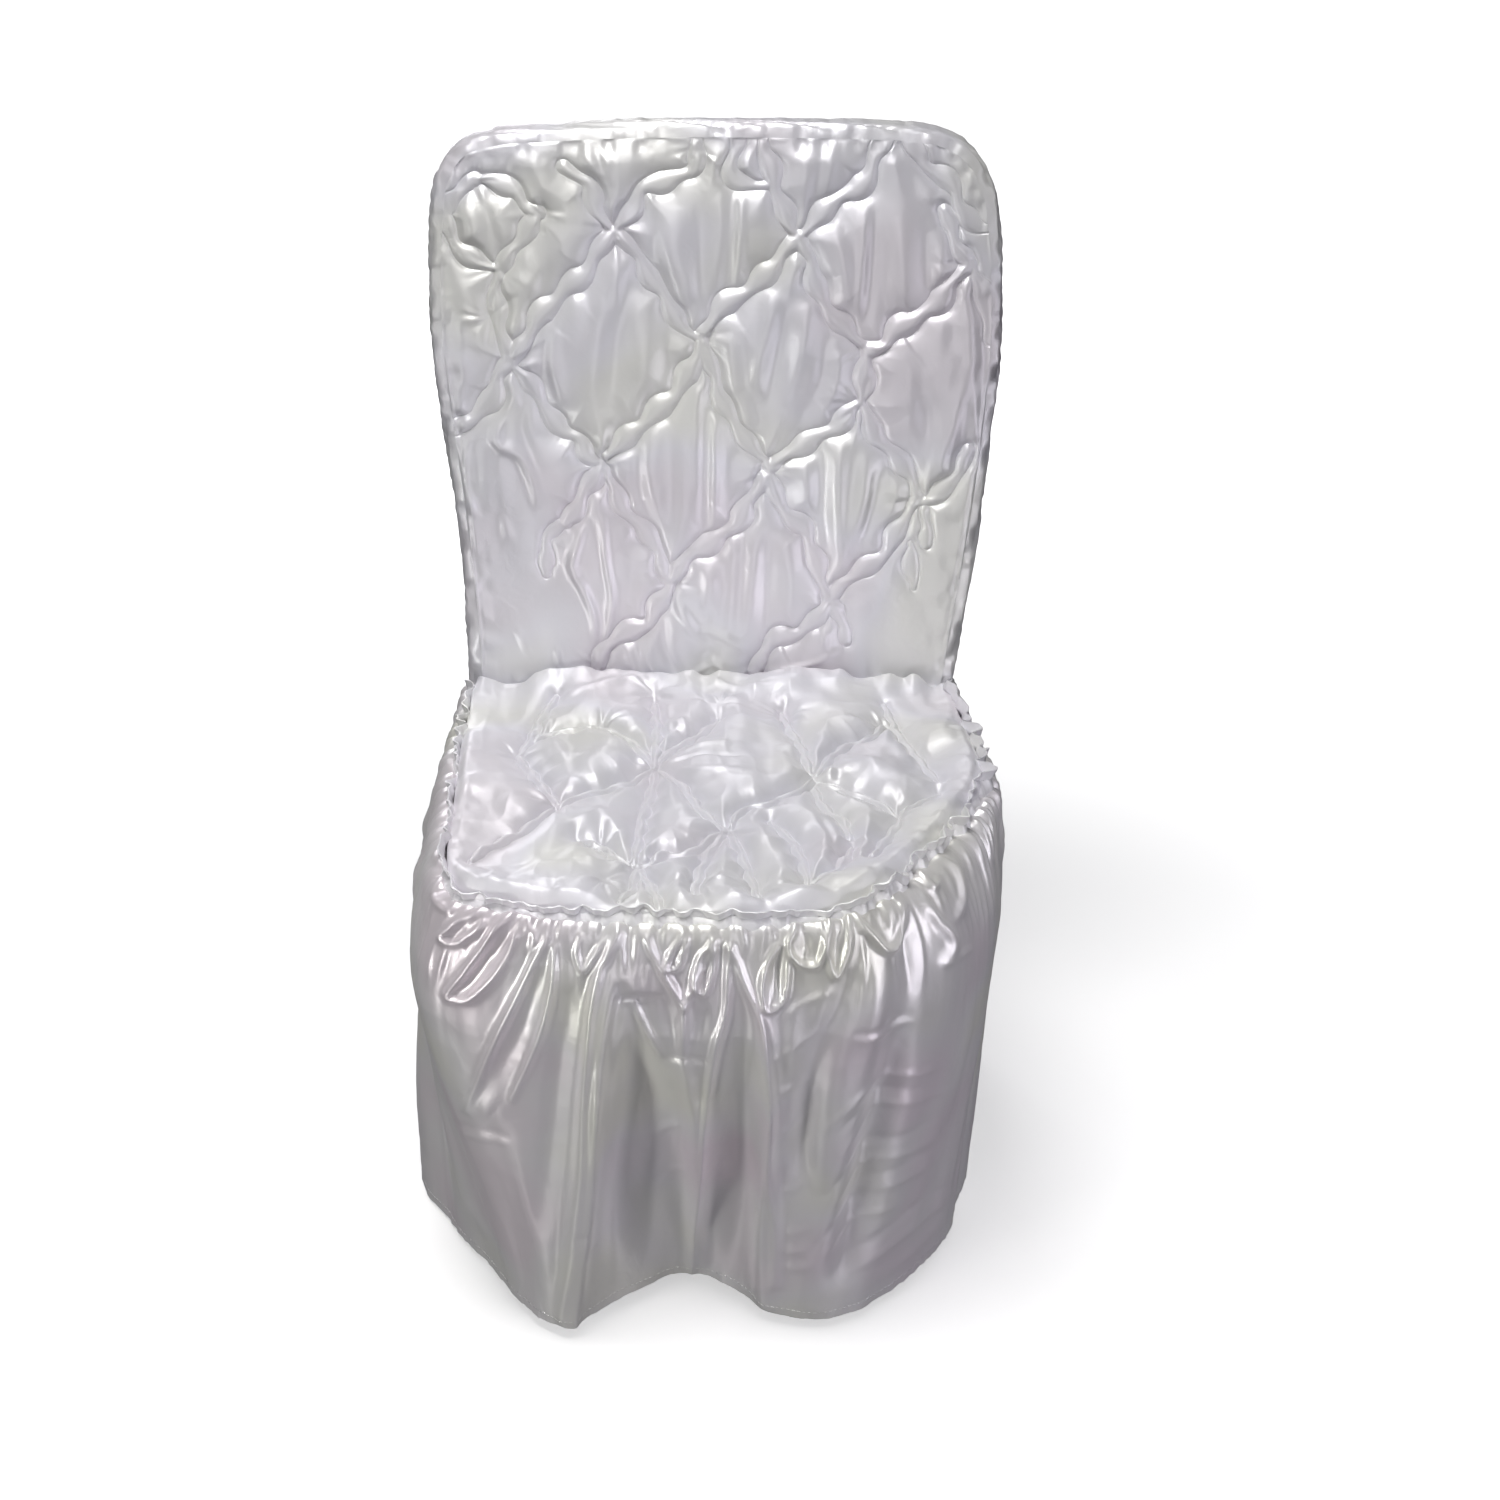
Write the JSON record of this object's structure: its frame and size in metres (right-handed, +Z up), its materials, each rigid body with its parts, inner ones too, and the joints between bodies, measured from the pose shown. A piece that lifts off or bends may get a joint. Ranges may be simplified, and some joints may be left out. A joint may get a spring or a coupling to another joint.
{
  "type": "chair cover",
  "caption": "Hollow satin cover for an armless chair: smocked back pocket and seat, gathered heading round the seat and a full-length skirt.",
  "frame": {"origin": "middle of the cover's footprint, level with the hem", "axes": "+Z up, the front of the seat faces -Y, +X to the right as seen from the front"},
  "size_m": [0.4985, 0.4917, 0.8819],
  "materials": {
    "smocked_satin": "lustrous white satin, stitched into puffed diamonds",
    "plain_satin": "lustrous white satin, greyer where it hangs",
    "heading_satin": "lustrous white satin, gathered on elastic"
  },
  "bodies": {
    "root": {"back_panel_front": "smocked_satin", "back_band": "plain_satin", "back_panel_rear": "plain_satin", "seat_panel": "smocked_satin", "seat_frill": "heading_satin", "skirt": "plain_satin"}
  },
  "joints": []
}
